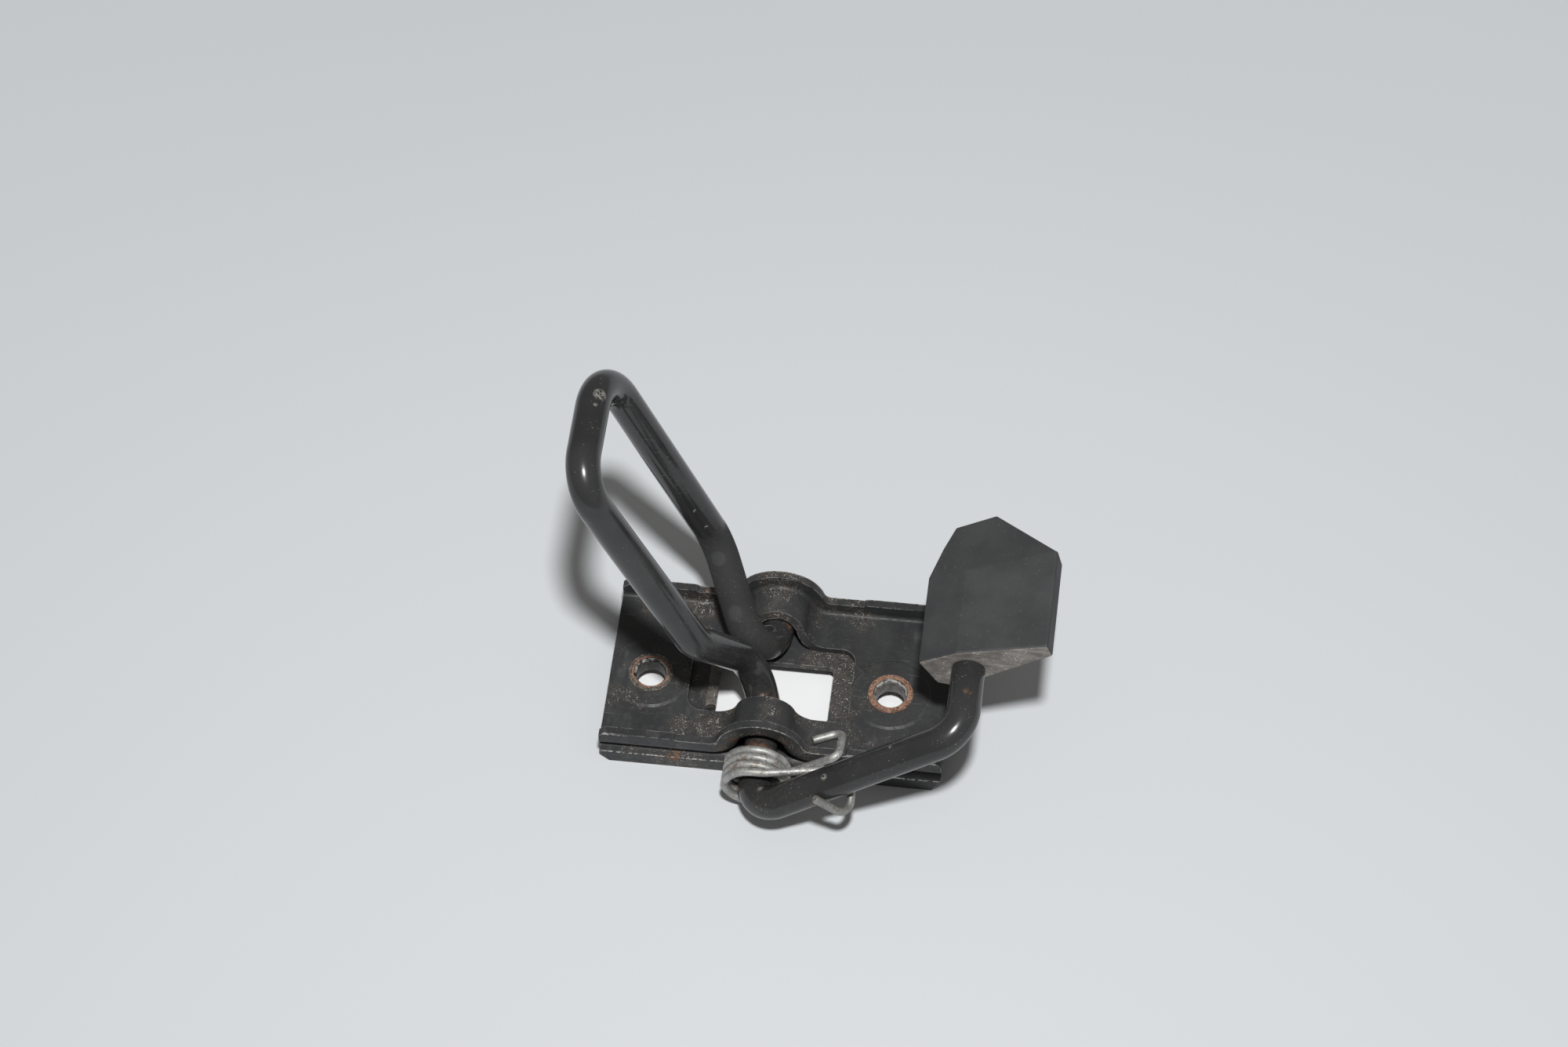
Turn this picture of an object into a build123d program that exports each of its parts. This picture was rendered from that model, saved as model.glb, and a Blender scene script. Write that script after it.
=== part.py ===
from build123d import *
import math
import os

# Hood safety latch: two pressed plates clinched together by two bushes, a bent hook
# rod that turns in the arch between them, a return spring and a moulded handle.
# Millimetres. The origin lies midway between the bolt holes on the seam where the two
# plates meet; +X runs along the plate to the handle, +Z is up.

# Base plates
plate_length = 82.0
plate_width = 45.0
left_hole_inset = 9.8
right_hole_inset = 14.2
hole_side = 1.7
stand_depth = 5.8
lower_sheet = 1.7
upper_sheet = 2.0
lower_bend = 2.5
upper_bend = 3.0
upper_flange_rise = 3.5
end_flange_extra = 0.5
end_flange_start = 20.2
flange_end_round = 1.4
lower_end_slope = 2.2

# Arch over the shaft
rod_dia = 8.0
seat_clearance = 0.1
arch_inner_radius = 5.2
arch_foot_radius = 7.5

# Openings in the plates
upper_window_left = 19.4
upper_window_right = 19.5
upper_window_near = 10.8
upper_window_far = 10.0
upper_window_corner = 3.5
far_mouth_lean = 3.0
near_mouth_lean = 0.5
lower_window_left = 12.6
lower_window_right = 14.6
lower_window_near = 10.0
lower_window_far = 5.9
lower_window_corner = 1.2
relief_radius = 1.9

# Raised pads and bushes at the bolt holes
pad_radius = 9.8
pad_height = 0.3
pad_slope = 0.5
bush_bore_dia = 7.0
bush_wall = 1.2
bush_rim_overhang = 0.75
bush_mouth_flare = 0.65
bush_mouth_depth = 1.0
right_rim_height = 0.6
left_rim_height = 0.35
bush_foot_height = 0.4
bush_edge = 0.2

# Hook rod centreline
far_knee_lean = 15.3
near_knee_lean = 16.2
top_lean = 40.9
far_side = 23.1
near_knee_side = 12.3
near_shoulder_side = 11.9
far_knee_height = 24.2
far_shoulder_height = 90.9
near_knee_height = 33.3
near_shoulder_height = 92.6
far_turn_side = 8.4
near_turn_reach = 2.3
elbow_reach = 16.6
arm_reach = 48.3
arm_set_back = 8.9
arm_height = 32.0
far_turn_radius = 7.5
far_knee_radius = 10.5
far_shoulder_radius = 13.3
near_shoulder_radius = 9.0
near_knee_radius = 11.8
near_turn_radius = 11.3
elbow_radius = 6.4
arm_bend_radius = 8.2
far_end_stickout = 1.5
rod_end_depth = 20.0
rod_end_edge = 0.6

# Return spring
wire_dia = 2.0
coil_radius = 7.2
coil_edge_gap = 2.8
coil_length = 7.4
coil_whole_turns = 3
leave_length = 3.0
leave_radius = 12.0
flange_clearance = 0.2
flange_lift = 0.4
plate_leg_rise = 35.0
arm_leg_rise = 5.0
leg_bend_radius = 2.0
plate_gap = 0.05
tip_x = 12.0
tip_inset = 3.3
hook_x = 19.1
hook_inset = 6.5
arm_hook_x = 23.3
arm_hook_back = 4.9
arm_hook_back_drop = 5.0
arm_hook_front = 6.4
arm_hook_low_drop = 8.5
arm_tip_turn = 8.0
arm_tip_drop = 1.8

# Handle
handle_near_side = 12.0
handle_left_x = 36.3
handle_left_z = 32.9
handle_ridge_x = 45.2
handle_ridge_z = 38.3
handle_nose_x = 66.4
handle_nose_z = 44.5
handle_nose_drop = 3.8
handle_nose_bulge = 1.4
keel_right_x = 52.9
keel_right_z = 29.3
keel_left_x = 43.9
keel_left_z = 24.4
keel_width = 3.0
keel_edge = 1.0
crease_ridge_y = 11.4
crease_nose_y = 15.2
far_corner_x = 41.6
far_corner_y = 26.4
far_corner_z = 34.2
far_point_x = 51.1
far_point_y = 29.2
nose_corner_y = 13.5
handle_edge = 0.7

# Derived heights and radii
rod_radius = rod_dia / 2
wire_radius = wire_dia / 2
shaft_z = seat_clearance + rod_radius
half_width = plate_width / 2
inner_side = half_width - upper_sheet
elbow_side = half_width + elbow_reach
arm_side = elbow_side - arm_set_back
coil_back = half_width + coil_edge_gap
half_pitch = (plate_length - left_hole_inset - right_hole_inset) / 2
plate_left = -half_pitch - left_hole_inset
plate_right = half_pitch + right_hole_inset
sheet_top = upper_sheet
flange_offset = upper_sheet + upper_flange_rise
flange_top = flange_offset
arch_top = shaft_z + arch_inner_radius + upper_sheet
pad_top = sheet_top + pad_height
lower_under = -lower_sheet
bush_outer_radius = bush_bore_dia / 2 + bush_wall
rim_radius = bush_outer_radius + bush_rim_overhang

# Foot arcs that join the flat sheet to the arch
foot_z = arch_foot_radius
foot_x = math.sqrt((arch_inner_radius + arch_foot_radius) ** 2 - (foot_z - shaft_z) ** 2)
foot_angle = math.degrees(math.atan2(foot_z - shaft_z, foot_x))


def polar(cx, cz, radius, angle):
    return (
        cx + radius * math.cos(math.radians(angle)),
        cz + radius * math.sin(math.radians(angle)),
    )


def hump_edges(offset):
    arch_r = arch_inner_radius + offset
    foot_r = arch_foot_radius - offset
    left_end = polar(0, shaft_z, arch_r, 180 - foot_angle)
    right_end = polar(0, shaft_z, arch_r, foot_angle)
    left_mid = polar(-foot_x, foot_z, foot_r, (270 + 360 - foot_angle) / 2)
    right_mid = polar(foot_x, foot_z, foot_r, (270 + 180 + foot_angle) / 2)
    return [
        ThreePointArc((-foot_x, offset), left_mid, left_end),
        ThreePointArc(left_end, (0, shaft_z + arch_r), right_end),
        ThreePointArc(right_end, right_mid, (foot_x, offset)),
    ]


def closed_face(edges):
    with BuildSketch(Plane.XZ) as sketch:
        with BuildLine():
            for edge in edges:
                add(edge)
        make_face()
    return sketch.sketch


# Flat sheet with its hump, seen along Y
sheet_left = [(-foot_x, sheet_top), (plate_left, sheet_top), (plate_left, 0), (-foot_x, 0)]
sheet_right = [(foot_x, 0), (plate_right, 0), (plate_right, sheet_top), (foot_x, sheet_top)]
sheet_edges = hump_edges(0) + hump_edges(upper_sheet)
sheet_edges += [Polyline(*sheet_left), Polyline(*sheet_right)]
sheet = extrude(closed_face(sheet_edges), amount=half_width, both=True)

# Flanges stand up along both long edges and follow the hump
step_x = max(end_flange_start, foot_x + end_flange_extra)
end_top = flange_top + end_flange_extra
flange_left = [(-foot_x, flange_top), (-step_x, flange_top)]
flange_left += [(-step_x - end_flange_extra, end_top)]
flange_left += [(plate_left + flange_end_round, end_top)]
flange_left += [(plate_left, end_top - flange_end_round)]
flange_left += [(plate_left, 0), (-foot_x, 0)]
flange_right = [(foot_x, 0), (plate_right, 0)]
flange_right += [(plate_right, end_top - flange_end_round)]
flange_right += [(plate_right - flange_end_round, end_top)]
flange_right += [(step_x + end_flange_extra, end_top), (step_x, flange_top)]
flange_right += [(foot_x, flange_top)]
flange_edges = hump_edges(0) + hump_edges(flange_offset)
flange_edges += [Polyline(*flange_left), Polyline(*flange_right)]
flange = extrude(closed_face(flange_edges), amount=upper_sheet / 2, both=True)
upper_plate = sheet
for side in (-1, 1):
    upper_plate += Pos(0, side * (half_width - upper_sheet / 2), 0) * flange


# Round the bends along both long edges
def on_boundary(edge, offset):
    middle = edge.position_at(0.5)
    if edge.geom_type == GeomType.LINE:
        level = abs(middle.Z - offset) < 0.01
        return level and abs(edge.tangent_at(0.5).X) > 0.99
    if edge.geom_type != GeomType.CIRCLE:
        return False
    near_arch = abs(edge.radius - arch_inner_radius - offset) < 0.01
    near_foot = abs(edge.radius - arch_foot_radius + offset) < 0.01
    return near_arch or near_foot


def bend_line(part, y, offset):
    found = []
    for edge in part.edges():
        span = edge.bounding_box()
        if span.size.Y < 0.01 and abs(abs(span.min.Y) - y) < 0.01:
            if on_boundary(edge, offset):
                found.append(edge)
    return found


upper_plate = fillet(bend_line(upper_plate, half_width, 0), upper_bend)
upper_plate = fillet(bend_line(upper_plate, inner_side, upper_sheet), upper_bend - upper_sheet)

# Pads round the bolt holes
pad_profile = [(0, 0), (pad_radius, 0), (pad_radius - pad_slope, pad_height), (0, pad_height)]
with BuildSketch(Plane.XZ) as pad_sketch:
    with BuildLine():
        Polyline(*pad_profile, close=True)
    make_face()
pad = revolve(pad_sketch.sketch, axis=Axis.Z)
for side in (-1, 1):
    upper_plate += Pos(side * half_pitch, -hole_side, sheet_top) * pad
    upper_plate -= Pos(side * half_pitch, -hole_side, 0) * pad
    upper_plate -= Pos(side * half_pitch, -hole_side, 0) * Cylinder(bush_outer_radius, 4 * pad_top)
beyond_end = Box(pad_radius, plate_width, 4 * pad_top)
upper_plate -= Pos(plate_left - pad_radius / 2, 0, 0) * beyond_end
upper_plate -= Pos(plate_right + pad_radius / 2, 0, 0) * beyond_end


def window(left, right, near, far, corner, low, high):
    with BuildSketch(Plane.XY.offset(low)) as sketch:
        with Locations(((right - left) / 2, (far - near) / 2)):
            RectangleRounded(left + right, near + far, corner)
    return extrude(sketch.sketch, amount=high - low)


# Window and leaning mouths of the arch
upper_plate -= window(
    upper_window_left,
    upper_window_right,
    upper_window_near,
    upper_window_far,
    upper_window_corner,
    lower_under,
    arch_top + flange_offset,
)
mouth_top = arch_top + 1.0
far_tip = upper_window_far + far_mouth_lean * (mouth_top - sheet_top) / (arch_top - sheet_top)
near_tip = upper_window_near + near_mouth_lean * (mouth_top - sheet_top) / (arch_top - sheet_top)
with BuildSketch(Plane.YZ) as mouth:
    with BuildLine():
        Polyline(
            (-upper_window_near, sheet_top),
            (upper_window_far, sheet_top),
            (far_tip, mouth_top),
            (-near_tip, mouth_top),
            close=True,
        )
    make_face()
upper_plate -= extrude(mouth.sketch, amount=foot_x, both=True)
upper_plate.label = "upper_plate"

# Lower plate: a shallow channel standing on its long flanges
with BuildSketch(Plane.YZ.offset(plate_left)) as channel:
    with BuildLine():
        Polyline(
            (-half_width, -stand_depth),
            (-half_width, 0),
            (half_width, 0),
            (half_width, -stand_depth),
            (half_width - lower_sheet, -stand_depth),
            (half_width - lower_sheet, lower_under),
            (-half_width + lower_sheet, lower_under),
            (-half_width + lower_sheet, -stand_depth),
            close=True,
        )
    make_face()
    outer_corners = channel.vertices().group_by(Axis.Y)[-1]
    fillet(outer_corners, lower_bend)
    inner_corners = channel.vertices().filter_by(lambda v: abs(v.Z - lower_under) < 0.01)
    fillet(inner_corners, lower_bend - lower_sheet)
lower_plate = extrude(channel.sketch, amount=plate_length)

# Sloping ends of the lower flanges
for side in (-1, 1):
    end = plate_left if side < 0 else plate_right
    with BuildSketch(Plane.XZ) as slope:
        with BuildLine():
            Polyline(
                (end, lower_under),
                (end - side * lower_end_slope, -stand_depth),
                (end - side * lower_end_slope, -stand_depth - 1),
                (end + side, -stand_depth - 1),
                (end + side, lower_under),
                close=True,
            )
        make_face()
    lower_plate -= extrude(slope.sketch, amount=plate_width, both=True)

lower_plate -= window(
    lower_window_left,
    lower_window_right,
    lower_window_near,
    lower_window_far,
    lower_window_corner,
    -stand_depth,
    sheet_top,
)
relief_x = -lower_window_left - relief_radius / 2
relief_y = -lower_window_near + relief_radius / 4
lower_plate -= Pos(relief_x, relief_y, lower_under) * Cylinder(relief_radius, 2 * stand_depth)
for side in (-1, 1):
    lower_plate -= Pos(side * half_pitch, -hole_side, 0) * Cylinder(bush_outer_radius, 2 * stand_depth)
lower_plate.label = "lower_plate"


# Bushes: tube with its upper rim rolled over the pad and a foot below the lower plate
def bush(rim_height, name):
    bore = bush_bore_dia / 2
    top = pad_top + rim_height
    bottom = lower_under - bush_foot_height
    with BuildSketch(Plane.XZ) as section:
        with BuildLine():
            Polyline(
                (bore, bottom + bush_edge),
                (bore + bush_edge, bottom),
                (rim_radius - bush_edge, bottom),
                (rim_radius, bottom + bush_edge),
                (rim_radius, lower_under),
                (bush_outer_radius, lower_under),
                (bush_outer_radius, pad_top),
                (rim_radius, pad_top),
                (rim_radius, top - bush_edge),
                (rim_radius - bush_edge, top),
                (bore + bush_mouth_flare, top),
                (bore, top - bush_mouth_depth),
                close=True,
            )
        make_face()
    body = revolve(section.sketch, axis=Axis.Z)
    body.label = name
    return body


left_bush = Pos(-half_pitch, -hole_side, 0) * bush(left_rim_height, "left_bush")
right_bush = Pos(half_pitch, -hole_side, 0) * bush(right_rim_height, "right_bush")
left_bush.label = "left_bush"
right_bush.label = "right_bush"


# Hook rod: one bent bar from the far journal round the loop to the handle
def swept_bar(points, radii, radius):
    path = FilletPolyline(*points, radius=radii)
    start = Plane(origin=path @ 0, z_dir=path % 0)
    return sweep(start * Circle(radius), path=path)


rod_points = [
    (0, half_width + far_end_stickout, shaft_z),
    (0, -far_turn_side, shaft_z),
    (-far_knee_lean, far_side, far_knee_height),
    (-top_lean, far_side, far_shoulder_height),
    (-top_lean, -near_shoulder_side, near_shoulder_height),
    (-near_knee_lean, -near_knee_side, near_knee_height),
    (0, near_turn_reach, shaft_z),
    (0, -elbow_side, shaft_z),
    (arm_reach, -arm_side, arm_height),
    (arm_reach, -handle_near_side + rod_end_depth, arm_height),
]
rod_radii = [
    far_turn_radius,
    far_knee_radius,
    far_shoulder_radius,
    near_shoulder_radius,
    near_knee_radius,
    near_turn_radius,
    elbow_radius,
    arm_bend_radius,
]
hook_rod = swept_bar(rod_points, rod_radii, rod_radius)
rod_ends = hook_rod.edges().filter_by(GeomType.CIRCLE)
rod_ends = rod_ends.filter_by(lambda e: abs(e.length - math.pi * rod_dia) < 0.01)
far_end = rod_ends.sort_by(lambda e: abs(e.center().Y - rod_points[0][1]))[0]
hook_rod = chamfer(far_end, rod_end_edge)
hook_rod.label = "hook_rod"

# Return spring: coil round the near journal, one leg hooked on the upper plate and
# the other passing behind the arm and hooked back in front of it
start_angle = -90 + plate_leg_rise
end_angle = 90 + arm_leg_rise - 360 * (coil_whole_turns + 1)
coil_turns = (start_angle - end_angle) / 360
coil_pitch = coil_length / coil_turns
coil_frame = Plane(
    origin=(0, -coil_back, shaft_z),
    x_dir=(math.cos(math.radians(start_angle)), 0, math.sin(math.radians(start_angle))),
    z_dir=(0, -1, 0),
)
coil_path = coil_frame * Helix(coil_pitch, coil_length, coil_radius, lefthand=True)
coil_start = coil_path @ 0
coil_end = coil_path @ 1
coil_start_plane = Plane(origin=coil_start, z_dir=coil_path % 0)
coil = sweep(coil_start_plane * Circle(wire_radius), path=coil_path, is_frenet=True)

rest_z = sheet_top + wire_radius + plate_gap
hook_y = hook_inset - inner_side
tip_y = tip_inset - inner_side
out_direction = (coil_path % 0) * -1
reach = (hook_x - coil_start.X) / out_direction.X
outer_corner = coil_start + out_direction * reach
flange_corner = (hook_x, -inner_side + flange_clearance, flange_top + wire_radius + flange_lift)
plate_leg = swept_bar(
    [coil_start, outer_corner, flange_corner, (hook_x, hook_y, rest_z), (tip_x, tip_y, rest_z)],
    [leg_bend_radius, leg_bend_radius, leg_bend_radius],
    wire_radius,
)

leave_point = coil_end + (coil_path % 1) * leave_length
arm_share = arm_hook_x / arm_reach
arm_at_y = arm_set_back * arm_share - elbow_side
arm_at_z = shaft_z + (arm_height - shaft_z) * arm_share
hook_front_y = arm_at_y - arm_hook_front
arm_leg = swept_bar(
    [
        coil_end,
        leave_point,
        (arm_hook_x, arm_at_y + arm_hook_back, arm_at_z - arm_hook_back_drop),
        (arm_hook_x, hook_front_y, arm_at_z - arm_hook_low_drop),
        (arm_hook_x - arm_tip_turn, hook_front_y, arm_at_z - arm_tip_drop),
    ],
    [leave_radius, leg_bend_radius, leg_bend_radius],
    wire_radius,
)
return_spring = coil + plate_leg + arm_leg
return_spring.label = "return_spring"

# Handle: wedge section drawn out along Y with its far end cut back and sloped down
handle_far = far_point_y + 1
top_slope = (handle_nose_z - handle_ridge_z) / (handle_nose_x - handle_ridge_x)
nose_x = handle_nose_x + handle_nose_bulge
with BuildSketch(Plane.XZ.offset(handle_near_side)) as section:
    with BuildLine():
        Polyline(
            (handle_left_x, handle_left_z),
            (handle_ridge_x, handle_ridge_z),
            (handle_nose_x, handle_nose_z),
            (nose_x, handle_nose_z - handle_nose_drop),
            (keel_right_x, keel_right_z),
            (keel_left_x, keel_left_z),
            (keel_left_x - keel_width, keel_left_z + keel_edge / 2),
            close=True,
        )
    make_face()
handle = extrude(section.sketch, amount=-(handle_near_side + handle_far))

corner_rise = (far_corner_y - crease_ridge_y) / (far_corner_x - handle_left_x)
side_x = handle_left_x - keel_width
side_y = far_corner_y - (far_corner_x - side_x) * corner_rise
with BuildSketch(Plane.XY.offset(keel_left_z - handle_far)) as outline:
    with BuildLine():
        Polyline(
            (side_x, -handle_near_side - 1),
            (side_x, side_y),
            (far_corner_x, far_corner_y),
            (far_point_x, far_point_y),
            (handle_nose_x, crease_nose_y),
            (nose_x + 0.1, nose_corner_y),
            (nose_x + 0.1, -handle_near_side - 1),
            close=True,
        )
    make_face()
handle &= extrude(outline.sketch, amount=2 * (handle_nose_z + handle_far))

ridge_point = Vector(handle_ridge_x, crease_ridge_y, handle_ridge_z)
nose_point = Vector(handle_nose_x, crease_nose_y, handle_nose_z)
far_point = Vector(far_corner_x, far_corner_y, far_corner_z)
facet_normal = (nose_point - ridge_point).cross(far_point - ridge_point)
facet = Plane(origin=ridge_point, z_dir=facet_normal)
handle = split(handle, bisect_by=facet, keep=Keep.BOTTOM)
handle = fillet(handle.edges(), handle_edge)
handle -= hook_rod
handle.label = "handle"

# The pieces are built about the plates' middle, then set so that the holes straddle the origin
parts = [upper_plate, lower_plate, left_bush, right_bush, hook_rod, return_spring, handle]
os.makedirs("parts", exist_ok=True)
for part in parts:
    placed = Pos(0, hole_side, 0) * part
    placed.label = part.label
    export_step(placed, os.path.join("parts", part.label + ".step"))
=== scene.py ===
import bpy
import math
from mathutils import Matrix, Vector


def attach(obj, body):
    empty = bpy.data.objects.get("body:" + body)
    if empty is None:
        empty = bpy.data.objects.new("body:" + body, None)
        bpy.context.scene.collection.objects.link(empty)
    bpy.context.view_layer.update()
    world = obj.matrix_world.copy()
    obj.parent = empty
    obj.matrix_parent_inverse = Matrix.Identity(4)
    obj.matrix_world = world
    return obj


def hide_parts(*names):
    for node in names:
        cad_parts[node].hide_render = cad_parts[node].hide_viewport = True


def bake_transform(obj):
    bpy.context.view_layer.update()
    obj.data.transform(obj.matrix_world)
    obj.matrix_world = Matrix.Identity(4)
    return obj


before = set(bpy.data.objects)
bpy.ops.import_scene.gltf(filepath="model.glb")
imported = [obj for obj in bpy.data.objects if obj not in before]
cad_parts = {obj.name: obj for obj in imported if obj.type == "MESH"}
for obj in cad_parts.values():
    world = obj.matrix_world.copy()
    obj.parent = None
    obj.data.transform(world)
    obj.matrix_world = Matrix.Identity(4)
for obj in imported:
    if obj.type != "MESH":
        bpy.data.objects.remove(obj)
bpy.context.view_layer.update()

# Places and lengths are written in millimetres and multiplied by MM where Blender takes them
MM = 0.001
# The places below count y from the middle of the plates, which lies at y = 1.7 mm in the frame
SET = Vector((0, 1.7, 0))
# Height of the shaft's axis, and of the edges of the lower flanges, on which the part stands
SHAFT_Z = 4.1
STAND_Z = -5.8


# Builds the node tree of one material. A mask is a value from 0 to 1.
class Nodes:
    def __init__(self, name):
        self.material = bpy.data.materials.new(name)
        self.material.use_nodes = True
        self.tree = self.material.node_tree
        self.tree.nodes.clear()
        out = self.tree.nodes.new("ShaderNodeOutputMaterial")
        self.shader = self.tree.nodes.new("ShaderNodeBsdfPrincipled")
        self.tree.links.new(self.shader.outputs[0], out.inputs[0])
        self.place = self.tree.nodes.new("ShaderNodeTexCoord").outputs["Object"]
        self.surface = self.tree.nodes.new("ShaderNodeNewGeometry")

    # Links a socket to another, or gives it a fixed value
    def put(self, socket, value):
        if isinstance(value, bpy.types.NodeSocket):
            self.tree.links.new(value, socket)
        else:
            socket.default_value = value

    def math(self, kind, a, b=0.0):
        node = self.tree.nodes.new("ShaderNodeMath")
        node.operation = kind
        self.put(node.inputs[0], a)
        self.put(node.inputs[1], b)
        return node.outputs[0]

    def times(self, a, b):
        return self.math("MULTIPLY", a, b)

    def larger(self, a, b):
        return self.math("MAXIMUM", a, b)

    # How far a value is from a target, either way
    def off(self, value, target):
        return self.math("ABSOLUTE", self.math("SUBTRACT", value, target))

    # Length of the vector with the two given components
    def length(self, a, b):
        return self.math("SQRT", self.math("ADD", self.times(a, a), self.times(b, b)))

    def noise(self, scale, detail, rough, where=None):
        node = self.tree.nodes.new("ShaderNodeTexNoise")
        self.put(node.inputs["Vector"], self.place if where is None else where)
        node.inputs["Scale"].default_value = scale
        node.inputs["Detail"].default_value = detail
        node.inputs["Roughness"].default_value = rough
        return node.outputs["Fac"]

    # Goes smoothly from to_low, where the value is low, to to_high, where it is high
    def step(self, value, low, high, to_low=0.0, to_high=1.0):
        node = self.tree.nodes.new("ShaderNodeMapRange")
        node.interpolation_type = "SMOOTHSTEP"
        self.put(node.inputs["Value"], value)
        node.inputs["From Min"].default_value = low
        node.inputs["From Max"].default_value = high
        node.inputs["To Min"].default_value = to_low
        node.inputs["To Max"].default_value = to_high
        return node.outputs["Result"]

    # Colour a where the factor is 0, colour b where it is 1
    def mix(self, factor, a, b):
        node = self.tree.nodes.new("ShaderNodeMix")
        node.data_type = "RGBA"
        self.put(node.inputs[0], factor)
        self.put(node.inputs[6], a if isinstance(a, bpy.types.NodeSocket) else (*a, 1.0))
        self.put(node.inputs[7], b if isinstance(b, bpy.types.NodeSocket) else (*b, 1.0))
        return node.outputs[2]

    # Number a where the factor is 0, number b where it is 1
    def blend(self, factor, a, b):
        node = self.tree.nodes.new("ShaderNodeMix")
        node.data_type = "FLOAT"
        self.put(node.inputs[0], factor)
        self.put(node.inputs[2], a)
        self.put(node.inputs[3], b)
        return node.outputs[0]

    # One coordinate of the surface point, or of another vector
    def along(self, letter, vector=None):
        node = self.tree.nodes.new("ShaderNodeSeparateXYZ")
        self.put(node.inputs[0], self.place if vector is None else vector)
        return node.outputs[letter]

    # The surface point with each coordinate scaled, for streaks
    def stretch(self, x, y, z):
        node = self.tree.nodes.new("ShaderNodeMapping")
        self.put(node.inputs["Vector"], self.place)
        node.inputs["Scale"].default_value = (x, y, z)
        return node.outputs[0]

    # Distance of the surface point from a place
    def distance(self, point):
        node = self.tree.nodes.new("ShaderNodeVectorMath")
        node.operation = "DISTANCE"
        self.put(node.inputs[0], self.place)
        node.inputs[1].default_value = (Vector(point) + SET) * MM
        return node.outputs["Value"]

    # Mask of a round spot, full inside its inner radius and gone at its outer radius
    def spot(self, point, inner, outer):
        return self.step(self.distance(point), outer * MM, inner * MM)

    # Mask of a list of spots
    def spots(self, marks):
        mask = self.spot(*marks[0])
        for mark in marks[1:]:
            mask = self.larger(mask, self.spot(*mark))
        return mask

    # Mask of the sharp edges
    def edges(self, radius, low, high):
        soft = self.tree.nodes.new("ShaderNodeBevel")
        soft.samples = 4
        soft.inputs["Radius"].default_value = radius * MM
        node = self.tree.nodes.new("ShaderNodeVectorMath")
        node.operation = "DOT_PRODUCT"
        self.put(node.inputs[0], soft.outputs[0])
        self.put(node.inputs[1], self.surface.outputs["Normal"])
        return self.step(self.math("SUBTRACT", 1.0, node.outputs["Value"]), low, high)

    def bump(self, height, strength, distance):
        node = self.tree.nodes.new("ShaderNodeBump")
        node.inputs["Strength"].default_value = strength
        node.inputs["Distance"].default_value = distance * MM
        self.put(node.inputs["Height"], height)
        return node.outputs[0]

    def finish(self, colour, rough, metal=0.0, normal=None):
        self.put(self.shader.inputs["Base Color"], colour)
        self.put(self.shader.inputs["Roughness"], rough)
        self.put(self.shader.inputs["Metallic"], metal)
        if normal is not None:
            self.put(self.shader.inputs["Normal"], normal)
        return self.material


# Mask of the dusty strip of the lower plate that shows at the left of the upper window, also lighter
# as painted light standing in for its sloped edge catching the light
def dusty_lit_strip(m, patchy):
    left_x = -15.2
    right_x = -12.6
    near_y = -16.5
    fade = 0.4
    x = m.along("X")
    mask = m.times(
        m.step(x, left_x * MM, (left_x + fade) * MM),
        m.step(x, right_x * MM, (right_x - fade) * MM),
    )
    mask = m.times(mask, m.step(patchy, 0.34, 0.56, 0.25, 0.8))
    return m.times(mask, m.step(m.along("Y"), near_y * MM, (near_y + 0.5) * MM))


# Mask of the worn line along the near flange of the lower plate
def worn_line(m):
    line_y = -20.1
    line_z = -1.9
    mask = m.step(m.off(m.along("Z"), line_z * MM), 0.30 * MM, 0.10 * MM)
    mask = m.times(mask, m.step(m.along("Y"), (line_y + 0.3) * MM, (line_y - 0.2) * MM))
    mask = m.times(mask, m.step(m.noise(1100, 4, 0.7), 0.46, 0.54))
    return m.times(mask, m.step(m.noise(150, 2, 0.5), 0.36, 0.46))


# Mask of the worn outer edge of the upper plate's flanges, along their tops and round the humps
def worn_rim(m):
    half_width = 22.5
    top_z = 5.75
    arch_radius = 10.7
    z = m.along("Z")
    radius = m.length(m.along("X"), m.math("SUBTRACT", z, SHAFT_Z * MM))
    on_arch = m.step(m.off(radius, arch_radius * MM), 0.30 * MM, 0.12 * MM)
    on_arch = m.times(on_arch, m.step(z, (top_z - 0.6) * MM, top_z * MM))
    on_top = m.step(m.off(z, top_z * MM), 0.50 * MM, 0.28 * MM)
    on_top = m.times(on_top, m.step(radius, (arch_radius - 0.2) * MM, (arch_radius + 0.3) * MM))
    across = m.off(m.along("Y"), SET.y * MM)
    outside = m.step(across, (half_width - 0.30) * MM, (half_width - 0.12) * MM)
    mask = m.times(m.larger(on_arch, on_top), outside)
    mask = m.times(mask, m.step(m.noise(1100, 4, 0.7), 0.45, 0.53))
    return m.times(mask, m.step(m.noise(110, 2, 0.5), 0.44, 0.56))


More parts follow.
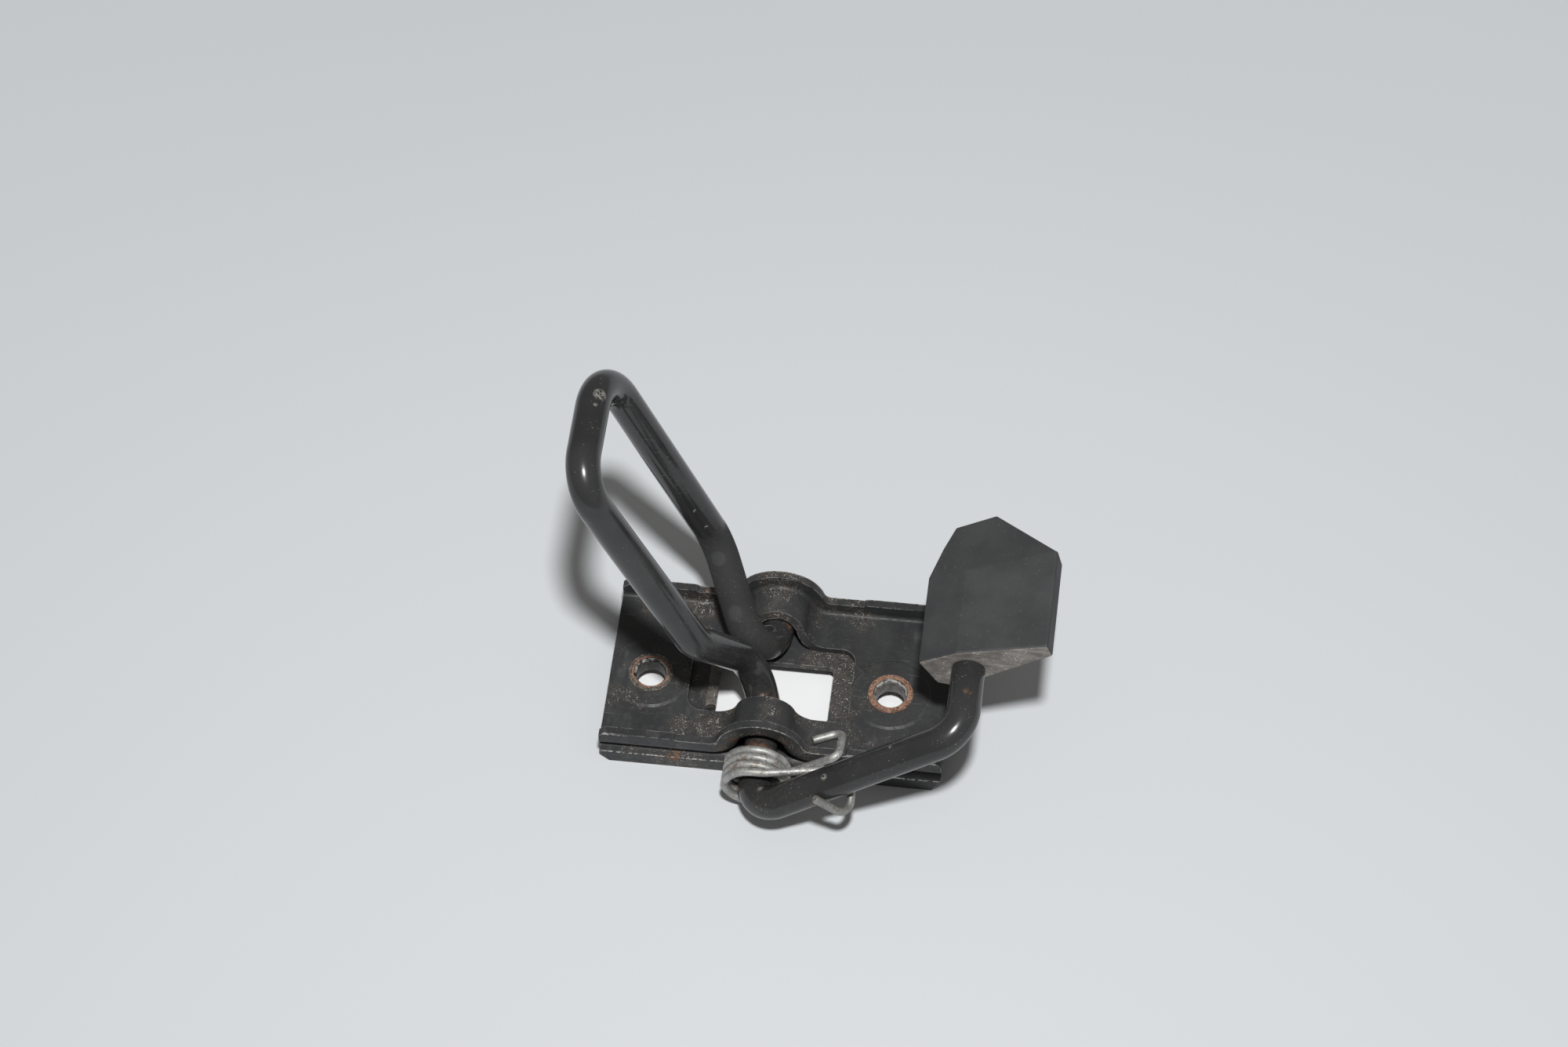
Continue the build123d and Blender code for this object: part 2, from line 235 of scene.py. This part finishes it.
# Satin black pressed steel: grime, scuffs, pale specks, small rust spots and worn bright edges
def plate_material(name, rust_marks, speck_marks, worn_mask, dust_and_light_mask=None):
    m = Nodes(name)
    broad = m.noise(90, 4, 0.6)
    fine = m.noise(900, 4, 0.6)
    grit = m.noise(2600, 2, 0.5)
    patchy = m.noise(420, 4, 0.7)

    paint_dark = (0.027, 0.028, 0.0295)
    paint_light = (0.043, 0.044, 0.0455)
    colour = m.mix(m.step(broad, 0.3, 0.7), paint_dark, paint_light)

    grime_colour = (0.085, 0.073, 0.060)
    grime = m.times(m.step(fine, 0.54, 0.66), m.step(m.noise(160, 3, 0.6), 0.46, 0.70))
    colour = m.mix(m.times(grime, 0.6), colour, grime_colour)

    scuff_colour = (0.082, 0.083, 0.085)
    scuff_field = m.noise(260, 3, 0.6, where=m.stretch(1.0, 0.35, 1.0))
    scuff = m.times(m.step(scuff_field, 0.56, 0.72), 0.45)
    colour = m.mix(scuff, colour, scuff_colour)

    # Brownish dust on the strip, with painted light for its sloped edge
    if dust_and_light_mask is not None:
        dust_colour = (0.17, 0.155, 0.135)
        colour = m.mix(dust_and_light_mask(m, patchy), colour, dust_colour)

    soil_colour = (0.082, 0.075, 0.066)
    cluster = m.step(m.noise(130, 3, 0.6), 0.53, 0.68, 0.0, 0.7)
    cluster = m.larger(cluster, m.spots(speck_marks))
    soil = m.times(cluster, m.step(patchy, 0.40, 0.60, 0.10, 0.5))
    colour = m.mix(soil, colour, soil_colour)

    speck_pale = (0.36, 0.335, 0.30)
    speck_brown = (0.145, 0.105, 0.072)
    specks = m.times(m.step(grit, 0.57, 0.63), cluster)
    speck_colour = m.mix(m.step(m.noise(650, 2, 0.5), 0.47, 0.55), speck_pale, speck_brown)
    colour = m.mix(specks, colour, speck_colour)

    rust_dark = (0.10, 0.056, 0.033)
    rust_light = (0.235, 0.122, 0.068)
    rust = m.times(m.spots(rust_marks), m.step(m.noise(520, 5, 0.7), 0.44, 0.58))
    colour = m.mix(rust, colour, m.mix(fine, rust_dark, rust_light))

    bare_colour = (0.47, 0.46, 0.44)
    bare = m.times(m.edges(0.3, 0.045, 0.15), m.step(patchy, 0.43, 0.53))
    bare = m.times(bare, m.step(m.noise(70, 3, 0.6), 0.32, 0.52, 0.4, 1.0))
    bare = m.larger(bare, worn_mask(m))
    colour = m.mix(bare, colour, bare_colour)

    scratch_colour = (0.15, 0.15, 0.15)
    scratch_field = m.noise(300, 2, 0.5, where=m.stretch(0.35, 6.0, 6.0))
    scratch = m.times(m.step(scratch_field, 0.69, 0.73), 0.4)
    colour = m.mix(scratch, colour, scratch_colour)

    rough = m.step(fine, 0.3, 0.7, 0.42, 0.60)
    rough = m.blend(scuff, rough, 0.7)
    rough = m.blend(m.larger(grime, rust), rough, 0.88)
    rough = m.blend(bare, rough, 0.34)
    height = m.math("ADD", fine, m.times(specks, 0.6))
    height = m.math("ADD", height, m.times(rust, 1.2))
    m.shader.inputs["Specular IOR Level"].default_value = 0.38
    return m.finish(colour, rough, m.times(bare, 0.35), m.bump(height, 0.35, 0.12))


# Glossy black bar: orange peel, hazy patches with a painted glow at three highlights, lighter
# lens-shaped patches, dust, chips, rusty shaft and a matt far foot
def rod_material():
    m = Nodes("rod_black")
    z = m.along("Z")
    fine = m.noise(1100, 3, 0.55)

    paint_dark = (0.0240, 0.0243, 0.0250)
    paint_light = (0.0345, 0.0348, 0.0356)
    colour = m.mix(m.step(m.noise(60, 4, 0.6), 0.3, 0.7), paint_dark, paint_light)

    haze_and_glow_colour = (0.052, 0.053, 0.054)
    haze_and_glow = m.times(m.step(m.noise(45, 3, 0.6), 0.52, 0.74), m.step(z, 24 * MM, 64 * MM, 0.3, 0.8))
    # At the near shoulder, the arm bend and the near knee the paint is rougher, and its lighter
    # colour there is a painted glow of the highlights
    haze_and_glow_patches = m.times(m.spots(ROD_HAZE_AND_GLOW), m.step(m.noise(150, 3, 0.6), 0.25, 0.5, 0.6, 1.0))
    haze_and_glow = m.larger(haze_and_glow, haze_and_glow_patches)
    colour = m.mix(m.times(haze_and_glow, 0.30), colour, haze_and_glow_colour)

    # Two lighter lens-shaped patches on the far leg's lower run
    pale_patch_colour = (0.050, 0.051, 0.052)
    colour = m.mix(m.times(m.spots(ROD_PALE_PATCHES), 0.7), colour, pale_patch_colour)

    speck_colour = (0.32, 0.29, 0.24)
    speck_area = m.step(m.noise(120, 3, 0.6), 0.42, 0.62)
    specks = m.times(m.step(m.noise(2300, 2, 0.5), 0.68, 0.73), speck_area)
    colour = m.mix(m.times(specks, 0.85), colour, speck_colour)

    dust_colour = (0.085, 0.070, 0.054)
    low_dust = m.times(m.step(z, 24 * MM, 6 * MM), m.step(fine, 0.50, 0.64))
    colour = m.mix(m.times(low_dust, 0.25), colour, dust_colour)

    chip_colour = (0.23, 0.22, 0.20)
    chips = m.times(m.spots(ROD_CHIPS), m.step(m.noise(900, 4, 0.7), 0.44, 0.50))
    colour = m.mix(chips, colour, chip_colour)

    rust_dark = (0.11, 0.050, 0.028)
    rust_light = (0.26, 0.13, 0.070)
    rust = m.times(m.spots(ROD_RUST), m.step(m.noise(420, 5, 0.7), 0.40, 0.58))
    colour = m.mix(rust, colour, m.mix(fine, rust_dark, rust_light))

    rough = m.step(fine, 0.3, 0.7, 0.10, 0.17)
    rough = m.blend(haze_and_glow, rough, 0.23)
    rough = m.blend(m.spots(ROD_MATT), rough, 0.85)
    rough = m.blend(m.larger(rust, m.larger(specks, chips)), rough, 0.75)
    height = m.math("ADD", m.noise(260, 2, 0.5), m.times(specks, 0.3))
    height = m.math("SUBTRACT", height, m.times(chips, 0.5))
    height = m.math("ADD", height, m.times(rust, m.noise(1500, 4, 0.7)))
    m.shader.inputs["Specular IOR Level"].default_value = 0.45
    return m.finish(colour, rough, 0.0, m.bump(height, 0.25, 0.12))


# Dull zinc-grey spring wire with brown dust and dots, and painted shade on the hook under the arm
def spring_material():
    m = Nodes("spring_grey")
    fine = m.noise(1300, 4, 0.65)

    zinc_dark = (0.29, 0.29, 0.28)
    zinc_light = (0.49, 0.49, 0.475)
    zinc_bright = (0.62, 0.62, 0.60)
    colour = m.mix(m.step(m.noise(240, 4, 0.65), 0.32, 0.68), zinc_dark, zinc_light)
    colour = m.mix(m.step(fine, 0.56, 0.68), colour, zinc_bright)

    dust_colour = (0.20, 0.13, 0.085)
    dust = m.times(m.step(m.noise(520, 4, 0.7), 0.55, 0.66), 0.7)
    colour = m.mix(dust, colour, dust_colour)

    dot_colour = (0.13, 0.075, 0.045)
    dots = m.times(m.step(m.noise(1500, 2, 0.5), 0.66, 0.71), 0.8)
    colour = m.mix(dots, colour, dot_colour)

    # Painted shade: the hook under the arm is mixed towards a darker grey
    spring_shade_colour = (0.12, 0.115, 0.105)
    hook_shade = m.times(m.spot(*SPRING_SHADE), 0.5)
    colour = m.mix(hook_shade, colour, spring_shade_colour)

    rough = m.step(fine, 0.3, 0.7, 0.42, 0.62)
    return m.finish(colour, rough, 0.55, m.bump(fine, 0.3, 0.08))


# Moulded handle: grained dark plastic, with painted shade darkening the sides, and a much lighter,
# scratched near end face
def handle_material():
    m = Nodes("handle_plastic")
    broad = m.noise(70, 4, 0.6)
    true_normal = m.surface.outputs["True Normal"]
    faces_up = m.step(m.along("Z", true_normal), 0.55, 0.85)
    faces_near = m.step(m.times(m.along("Y", true_normal), -1.0), 0.6, 0.9)

    top_dark = (0.041, 0.0425, 0.044)
    top_light = (0.057, 0.0585, 0.0605)
    side_shade_colour = (0.026, 0.0265, 0.0275)
    # Painted shade: faces that do not face up are mixed towards a darker colour
    top = m.mix(m.step(broad, 0.3, 0.7), top_dark, top_light)
    colour = m.mix(faces_up, m.mix(0.65, top, side_shade_colour), top)

    # The face towards the near end is coloured much lighter, with streaks and pale grains
    end_dark = (0.150, 0.137, 0.123)
    end_light = (0.250, 0.233, 0.212)
    smear = m.step(m.noise(260, 4, 0.65), 0.35, 0.65)
    end = m.mix(smear, end_dark, end_light)

    streak_colour = (0.36, 0.34, 0.315)
    streak = m.step(m.noise(420, 3, 0.6, where=m.stretch(0.3, 1.0, 2.0)), 0.50, 0.66)
    end = m.mix(m.times(streak, 0.6), end, streak_colour)

    grain_colour = (0.48, 0.46, 0.43)
    grains = m.times(m.step(m.noise(1900, 2, 0.5), 0.60, 0.66), m.step(smear, 0.3, 0.8))
    end = m.mix(grains, end, grain_colour)
    colour = m.mix(m.times(faces_near, 0.9), colour, end)

    dust_colour = (0.16, 0.155, 0.145)
    dust = m.times(m.step(m.noise(1400, 3, 0.6), 0.62, 0.72), 0.35)
    colour = m.mix(dust, colour, dust_colour)

    scuff_colour = (0.15, 0.148, 0.145)
    scuff = m.times(m.edges(0.5, 0.02, 0.2), m.step(m.noise(300, 3, 0.6), 0.40, 0.60))
    colour = m.mix(m.times(scuff, 0.5), colour, scuff_colour)

    rough = m.step(broad, 0.3, 0.7, 0.52, 0.64)
    rough = m.blend(faces_near, rough, 0.8)
    ejector_mark = m.step(m.distance(EJECTOR), 2.6 * MM, 2.3 * MM)
    height = m.math("ADD", m.times(m.noise(4200, 2, 0.5), 0.5), m.times(ejector_mark, 2.0))
    return m.finish(colour, rough, 0.0, m.bump(height, 0.22, 0.06))


# Steel bush: rough rusty rim, worn mouth and grey bore, told apart by the distance from its axis
def bush_material(name, axis_x, rim_dark, rim_light, rust_share, wall):
    m = Nodes(name)
    fine = m.noise(2400, 4, 0.7)
    broad = m.noise(700, 4, 0.7)
    radius = m.length(m.math("SUBTRACT", m.along("X"), axis_x * MM), m.along("Y"))
    radius = m.math("ADD", radius, m.times(m.math("SUBTRACT", broad, 0.5), 0.6 * MM))

    blotches = m.math("ADD", m.times(broad, 0.5), m.times(fine, 0.5))
    rim = m.mix(m.step(blotches, 0.40, 0.60), rim_dark, rim_light)

    pale_colour = (0.42, 0.36, 0.31)
    pale = m.times(m.step(m.noise(1900, 3, 0.6), 0.57, 0.63), 0.8)
    rim = m.mix(pale, rim, pale_colour)

    ring_radius = 4.35
    ring_colour = (0.46, 0.19, 0.085)
    ring = m.times(m.step(m.off(radius, ring_radius * MM), 0.28 * MM, 0.08 * MM), rust_share)
    rim = m.mix(m.times(ring, m.step(fine, 0.40, 0.52)), rim, ring_colour)

    wall_dark = tuple(0.7 * part for part in wall)
    wall_light = tuple(1.35 * part for part in wall)
    bore = m.mix(m.step(broad, 0.38, 0.62), wall_dark, wall_light)

    mouth_colour = (0.70, 0.68, 0.65)
    mouth = m.step(radius, 3.58 * MM, 3.72 * MM)
    mouth = m.times(mouth, m.step(m.noise(620, 4, 0.65), 0.42, 0.54))
    bore = m.mix(m.times(mouth, 0.9), bore, mouth_colour)

    inside = m.step(radius, 4.18 * MM, 4.00 * MM)
    colour = m.mix(inside, rim, bore)
    rough = m.blend(inside, m.step(fine, 0.3, 0.7, 0.62, 0.92), 0.45)
    height = m.times(m.math("ADD", fine, broad), m.math("SUBTRACT", 1.3, inside))
    return m.finish(colour, rough, m.times(inside, 0.4), m.bump(height, 0.8, 0.35))


# Pale floor with a painted pool of light: a little lighter near the part, and lightest under it,
# where the windows show it
def floor_material():
    m = Nodes("floor_pale")
    x = m.along("X")
    y = m.along("Y")

    lit_centre_colour = (0.640, 0.662, 0.680)
    far_colour = (0.600, 0.625, 0.650)
    cloud_colour = (0.70, 0.72, 0.74)
    painted_light_under_colour = (0.88, 0.885, 0.89)
    # Painted pool of light, fading from the part outwards
    tone = m.mix(m.step(m.length(x, y), 40 * MM, 260 * MM), lit_centre_colour, far_colour)
    tone = m.mix(m.step(m.noise(2.2, 2, 0.5), 0.3, 0.7, 0.0, 0.12), tone, cloud_colour)

    # Painted light on the floor under the part, where the windows show it
    light_pool_x = m.step(m.off(x, 2.0 * MM), 40 * MM, 34 * MM)
    light_pool_y = m.step(m.off(y, 3.7 * MM), 21 * MM, 17 * MM)
    tone = m.mix(m.times(light_pool_x, light_pool_y), tone, painted_light_under_colour)
    m.shader.inputs["Specular IOR Level"].default_value = 0.1
    return m.finish(tone, 0.55)


# Path of a bent bar: straight runs joined by tangent arcs, one radius for each inner corner
def bent_path(corners, radii, arc_step=3.0, run_step=4.0):
    corners = [Vector(corner) for corner in corners]
    path = [corners[0].copy()]

    def straight(a, b):
        count = max(1, int((b - a).length / run_step))
        for i in range(1, count + 1):
            path.append(a.lerp(b, i / count))

    last = corners[0]
    for i in range(1, len(corners) - 1):
        corner = corners[i]
        radius = radii[i - 1]
        back = (corners[i - 1] - corner).normalized()
        ahead = (corners[i + 1] - corner).normalized()
        turn = math.pi - back.angle(ahead)
        reach = radius * math.tan(turn / 2)
        start = corner + back * reach
        centre = corner + (back + ahead).normalized() * (radius / math.cos(turn / 2))
        straight(last, start)
        arm = start - centre
        axis = back.cross(arm).normalized()
        count = max(2, int(math.degrees(turn) / arc_step))
        for k in range(1, count + 1):
            path.append(centre + Matrix.Rotation(turn * k / count, 3, axis) @ arm)
        last = corner + ahead * reach
    straight(last, corners[-1])
    return path


# Edges that turn by more than this, in degrees, stay sharp
SHARP_ANGLE = 38


# A round bar along a path, with a small bevel at both ends
def sweep(name, path, radius, sides, bevel):
    tangents = []
    for i in range(len(path)):
        before = path[max(0, i - 1)]
        after = path[min(len(path) - 1, i + 1)]
        tangents.append((after - before).normalized())

    side = tangents[0].orthogonal().normalized()
    rings = []
    for point, tangent in zip(path, tangents):
        side = (side - tangent * side.dot(tangent)).normalized()
        rings.append((point, side, tangent.cross(side), radius))
    first = rings[0]
    final = rings[-1]
    rings[0] = (first[0] + tangents[0] * bevel, first[1], first[2], radius)
    rings[-1] = (final[0] - tangents[-1] * bevel, final[1], final[2], radius)
    rings.insert(0, (first[0], first[1], first[2], radius - bevel))
    rings.append((final[0], final[1], final[2], radius - bevel))

    verts = []
    for centre, u, v, r in rings:
        for k in range(sides):
            angle = 2 * math.pi * k / sides
            verts.append((SET + centre + u * (r * math.cos(angle)) + v * (r * math.sin(angle))) * MM)
    faces = []
    for i in range(len(rings) - 1):
        here = i * sides
        there = here + sides
        for k in range(sides):
            n = (k + 1) % sides
            faces.append((here + k, here + n, there + n, there + k))
    last = (len(rings) - 1) * sides
    faces.append(tuple(reversed(range(sides))))
    faces.append(tuple(range(last, last + sides)))

    mesh = bpy.data.meshes.new(name)
    mesh.from_pydata(verts, [], faces)
    mesh.update()
    mesh.shade_smooth()
    mesh.set_sharp_from_angle(angle=math.radians(SHARP_ANGLE))
    piece = bpy.data.objects.new(name, mesh)
    bpy.context.scene.collection.objects.link(piece)
    return piece


# The bar's corners, from the far end of the shaft through the loop and the elbow into the handle
ROD_R = 4.0
ROD_CORNERS = [
    (0, 24.0, SHAFT_Z),
    (0, -8.4, SHAFT_Z),
    (-15.3, 23.1, 24.2),
    (-40.9, 23.1, 90.9),
    (-40.9, -11.9, 92.6),
    (-16.2, -12.3, 33.3),
    (0, 2.3, SHAFT_Z),
    (0, -39.1, SHAFT_Z),
    (48.3, -30.2, 32.0),
    (48.3, 8.0, 32.0),
]
# Radius of the bend at each corner between the two ends
ROD_BENDS = [7.5, 10.5, 13.3, 9.0, 11.8, 11.3, 6.4, 8.2]

# Marks, each with its place, the radius inside which it is full and the radius at which it ends
ROD_CHIPS = [
    ((17.0, -36.6, 18.4), 0.3, 1.0),
    ((32.0, -32.2, 27.1), 0.2, 0.8),
    ((1.9, -36.0, 8.9), 0.3, 1.2),
    ((-39.1, 11.9, 95.0), 1.0, 2.0),
    ((-39.5, 15.6, 95.0), 0.3, 0.8),
    ((-39.7, 8.6, 95.4), 0.2, 0.7),
    ((-19.9, 19.5, 41.2), 0.2, 0.7),
    ((-17.4, 19.5, 34.9), 0.2, 0.7),
]
ROD_RUST = [
    ((3.5, 13.0, 6.2), 0.6, 2.6),
    ((0, -12.6, 7.0), 2.0, 5.0),
    ((0, -24.0, 5.2), 2.0, 4.5),
    ((17.0, -38.5, 10.7), 1.0, 4.5),
    ((48.9, -20.3, 36.0), 0.5, 1.5),
]
# Places of the highlights at the near shoulder, the arm bend and the near knee, with hazier paint
# and a painted glow
ROD_HAZE_AND_GLOW = [
    ((-40.7, -9.0, 96.0), 3.0, 9.0),
    ((47.5, -26.0, 35.5), 5.0, 12.0),
    ((-16.0, -14.0, 33.0), 3.0, 8.0),
]
ROD_MATT = [
    ((-13.8, 20.0, 22.2), 7.0, 11.0),
    ((-9.2, 10.5, 16.2), 7.0, 11.0),
    ((-4.6, 1.1, 10.1), 5.0, 9.0),
]
# Places of the two lighter lens-shaped patches on the far leg's lower run
ROD_PALE_PATCHES = [
    ((-14.6, 17.3, 25.3), 1.5, 2.1),
    ((-9.4, 6.7, 18.5), 1.3, 2.3),
]
# Place and radii of the painted shade on the spring's hook under the arm
SPRING_SHADE = ((19.3, -41.2, 12.4), 4.0, 8.0)
UPPER_RUST = [
    ((-0.5, -22.4, 10.2), 0.5, 2.2),
    ((0, 11.5, 9.7), 0.3, 1.8),
    ((-5.2, -22.5, 8.0), 0.5, 2.6),
    ((4.8, -22.5, 8.6), 0.5, 2.4),
    ((-8.4, -21.8, 3.0), 0.8, 2.6),
    ((-17.6, 21.2, 6.0), 0.4, 1.8),
    ((-8.8, -10.9, 5.0), 0.5, 2.2),
]
UPPER_SPECKS = [
    ((-22.3, 19.2, 2), 1.5, 5.0),
    ((-17.6, 21.2, 6), 1.0, 3.5),
    ((-18.5, 18.9, 2), 2.0, 5.5),
    ((0, 21.5, 14.0), 3.0, 8.0),
    ((12.5, 17.1, 9), 1.0, 4.5),
    ((19.9, 19.2, 2), 1.0, 4.5),
    ((-13.1, -15, 2), 1.5, 5.5),
    ((-19.6, -15.8, 2), 1.0, 4.5),
    ((-8.4, -21.8, 3), 1.0, 5.0),
    ((7.7, 18, 12), 0.5, 3.0),
    ((-8.8, -10.9, 5), 0.8, 4.0),
    ((2.1, -14.7, 11), 0.5, 3.0),
    ((0, 11.5, 9.7), 1.5, 4.0),
    ((-5.5, -22.5, 8.4), 2.0, 4.5),
    ((0, -22.5, 10.6), 2.0, 4.5),
    ((5.5, -22.5, 8.4), 2.0, 4.5),
    ((10.5, -22.5, 5.0), 1.5, 4.5),
]
LOWER_RUST = [
    ((-29, -21.9, 3.0), 0.8, 3.0),
    ((-21.2, -22.8, -1.5), 0.8, 3.2),
    ((12, -22.4, -3.5), 1.0, 4.0),
]
LOWER_SPECKS = [
    ((17.0, 3.0, 0), 9.0, 14.0),
    ((-13.1, -4.7, 0), 1.5, 5.0),
    ((-20, -22.8, -3), 2.0, 9.0),
]
# Middle of the round ejector mark on the handle
EJECTOR = (60.4, 14.0, 42.2)

# Hook rod
rod_path = bent_path(ROD_CORNERS, ROD_BENDS)
rod = sweep("hook_bar", rod_path, radius=ROD_R, sides=44, bevel=0.6)
rod.data.materials.append(rod_material())
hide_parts("hook_rod")
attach(rod, "hook")

# Return spring: a coil round the shaft, with angles from the x axis in the plane across the shaft
WIRE_R = 1.0
HOOK_BEND = 2.0
COIL_R = 7.2
COIL_Y = -25.3
COIL_LENGTH = 7.4
COIL_STEPS = 220
COIL_START = math.radians(-55)
COIL_END = math.radians(95 - 4 * 360)
COIL_TURN = COIL_START - COIL_END


def coil_point(share):
    angle = COIL_START - COIL_TURN * share
    x = COIL_R * math.cos(angle)
    z = COIL_R * math.sin(angle)
    return Vector((x, COIL_Y - COIL_LENGTH * share, SHAFT_Z + z))


def coil_tangent(angle):
    pitch = -COIL_LENGTH / (COIL_TURN * COIL_R)
    return Vector((math.sin(angle), pitch, -math.cos(angle))).normalized()


coil = [coil_point(i / COIL_STEPS) for i in range(COIL_STEPS + 1)]

# The leg to the plate leaves the coil along its tangent, and hooks over the near flange at this x
PLATE_HOOK_X = 19.1
lead = -coil_tangent(COIL_START)
plate_leg_corners = [
    coil[0],
    coil[0] + lead * ((PLATE_HOOK_X - coil[0].x) / lead.x),
    (PLATE_HOOK_X, -20.3, 6.9),
    (PLATE_HOOK_X, -14.0, 3.05),
    (12.0, -17.2, 3.05),
]
plate_leg_bends = [HOOK_BEND, HOOK_BEND, HOOK_BEND]
plate_leg = bent_path(plate_leg_corners, plate_leg_bends, arc_step=6.0, run_step=2.0)

# The leg to the arm runs on a little along the coil's tangent, then bends and hooks under the arm
ARM_LEG_LEAD = 3.0
arm_leg_corners = [
    coil[-1],
    coil[-1] + coil_tangent(COIL_END) * ARM_LEG_LEAD,
    (23.3, -29.91, 12.56),
    (23.3, -41.21, 9.06),
    (15.3, -41.21, 15.76),
]
arm_leg_bends = [12.0, HOOK_BEND, 3.2]
arm_leg = bent_path(arm_leg_corners, arm_leg_bends, arc_step=6.0, run_step=2.0)

# One wire: plate leg, coil and arm leg, which turns from one body to the other within the coil
plate_leg.reverse()
wire_path = plate_leg[:-1] + coil + arm_leg[1:]
wire = sweep("spring_wire", wire_path, radius=WIRE_R, sides=20, bevel=0.15)
wire.data.materials.append(spring_material())
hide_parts("return_spring")
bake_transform(wire)


# Gives a CAD node its material
def dress(node, material):
    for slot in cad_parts[node].material_slots:
        slot.link = "OBJECT"
        slot.material = material


upper_look = plate_material(
    "plate_black_upper",
    rust_marks=UPPER_RUST,
    speck_marks=UPPER_SPECKS,
    worn_mask=worn_rim,
)
lower_look = plate_material(
    "plate_black_lower",
    rust_marks=LOWER_RUST,
    speck_marks=LOWER_SPECKS,
    worn_mask=worn_line,
    dust_and_light_mask=dusty_lit_strip,
)
dress("upper_plate", upper_look)
dress("lower_plate", lower_look)
# The left bush is darker with an orange ring, the right one redder with a brighter bore
left_look = bush_material(
    "bush_left",
    axis_x=-29,
    rim_dark=(0.045, 0.042, 0.040),
    rim_light=(0.165, 0.140, 0.118),
    rust_share=0.8,
    wall=(0.075, 0.072, 0.070),
)
right_look = bush_material(
    "bush_right",
    axis_x=29,
    rim_dark=(0.095, 0.050, 0.036),
    rim_light=(0.400, 0.225, 0.150),
    rust_share=0.4,
    wall=(0.190, 0.183, 0.175),
)
dress("left_bush", left_look)
dress("right_bush", right_look)
dress("handle", handle_material())

# Floor, in metres across, a hair below the edges that the part stands on
FLOOR_SIZE = 6.0
FLOOR_GAP = 0.05
floor_z = (STAND_Z - FLOOR_GAP) * MM
bpy.ops.mesh.primitive_plane_add(size=FLOOR_SIZE, location=(0, 0, floor_z))
floor = bpy.context.object
floor.name = "floor"
floor.data.materials.append(floor_material())

# Light: an even, slightly warm world and one soft key from above the near side, in metres and watts
WORLD_COLOUR = (1.0, 0.975, 0.93, 1.0)
WORLD_STRENGTH = 0.180
KEY_DIAMETER = 0.13
KEY_ENERGY = 30.2
KEY_DISTANCE = 1.8
world = bpy.data.worlds.new("studio")
bpy.context.scene.world = world
world.use_nodes = True
background = world.node_tree.nodes["Background"]
background.inputs["Color"].default_value = WORLD_COLOUR
background.inputs["Strength"].default_value = WORLD_STRENGTH
key_data = bpy.data.lights.new("key", "AREA")
key_data.shape = "DISK"
key_data.size = KEY_DIAMETER
key_data.energy = KEY_ENERGY
key = bpy.data.objects.new("key", key_data)
bpy.context.scene.collection.objects.link(key)
key_direction = Vector((0.092, -0.371, 1.0)).normalized()
key.location = Vector((0, 0, STAND_Z * MM)) + key_direction * KEY_DISTANCE
key.rotation_euler = key_direction.to_track_quat("Z", "Y").to_euler()

# Camera at the photograph's viewing angle. The picture's width and the focal length are in pixels.
PHOTO_WIDTH = 2000
FOCAL_LENGTH = 6330
SENSOR_WIDTH = 36.0
# Its place, counted along its own axes from the point under the middle of the plates
CAMERA_RIGHT = 2.911
CAMERA_UP = 41.646
CAMERA_DISTANCE = 1200.0
azimuth = math.radians(7.98)
elevation = math.radians(55.0)
roll = math.radians(-1.412)
level_right = Vector((math.cos(azimuth), math.sin(azimuth), 0))
level_ahead = Vector((-math.sin(azimuth), math.cos(azimuth), 0))
straight_up = Vector((0, 0, 1))
level_up = level_ahead * math.sin(elevation) + straight_up * math.cos(elevation)
backward = straight_up * math.sin(elevation) - level_ahead * math.cos(elevation)
camera_x = level_right * math.cos(roll) + level_up * math.sin(roll)
camera_y = level_up * math.cos(roll) - level_right * math.sin(roll)
target = SET + Vector((0, 0, STAND_Z))
place = target + camera_x * CAMERA_RIGHT + camera_y * CAMERA_UP + backward * CAMERA_DISTANCE
pose = Matrix((camera_x, camera_y, backward)).transposed().to_4x4()
pose.translation = place * MM
camera_data = bpy.data.cameras.new("camera")
camera_data.sensor_fit = "HORIZONTAL"
camera_data.sensor_width = SENSOR_WIDTH
camera_data.lens = SENSOR_WIDTH * FOCAL_LENGTH / PHOTO_WIDTH
camera_data.clip_start = 0.05
camera_data.clip_end = 20.0
camera = bpy.data.objects.new("camera", camera_data)
bpy.context.scene.collection.objects.link(camera)
camera.matrix_world = pose
bpy.context.scene.camera = camera
bpy.context.scene.view_settings.view_transform = "Standard"

# Brings the scene up to date
bpy.context.view_layer.update()
